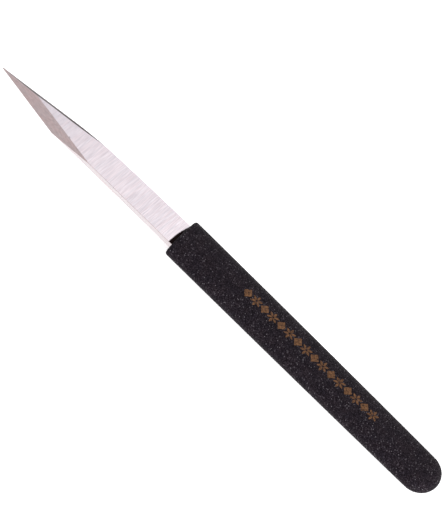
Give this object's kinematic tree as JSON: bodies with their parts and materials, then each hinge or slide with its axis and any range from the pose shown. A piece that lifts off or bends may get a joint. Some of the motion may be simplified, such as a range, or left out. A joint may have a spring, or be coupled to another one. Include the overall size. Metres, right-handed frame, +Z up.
{
  "type": "chip carving knife",
  "caption": "Slim chip carving knife: flat steel bar ground to a point from one face, set in an oval flecked rubber-skinned grip with a domed butt.",
  "frame": {"origin": "middle of the knife's footprint, on the surface it lies on", "axes": "+X along the knife from point to butt, +Y towards the spine, +Z up through the ground face of the blade, as the knife lies on the broad side of its grip"},
  "size_m": [0.1908, 0.0166, 0.0078],
  "materials": {
    "steel": "brushed",
    "grip": "matte",
    "foil": "satin",
    "core_wood": "matte",
    "adhesive": "satin",
    "pin_steel": "satin"
  },
  "bodies": {
    "root": {"blade": "steel", "grip_sleeve": "grip", "core_scale_upper": "core_wood", "core_scale_lower": "core_wood", "tang_adhesive": "adhesive", "tang_pin_front": "pin_steel", "tang_pin_rear": "pin_steel"}
  },
  "joints": []
}
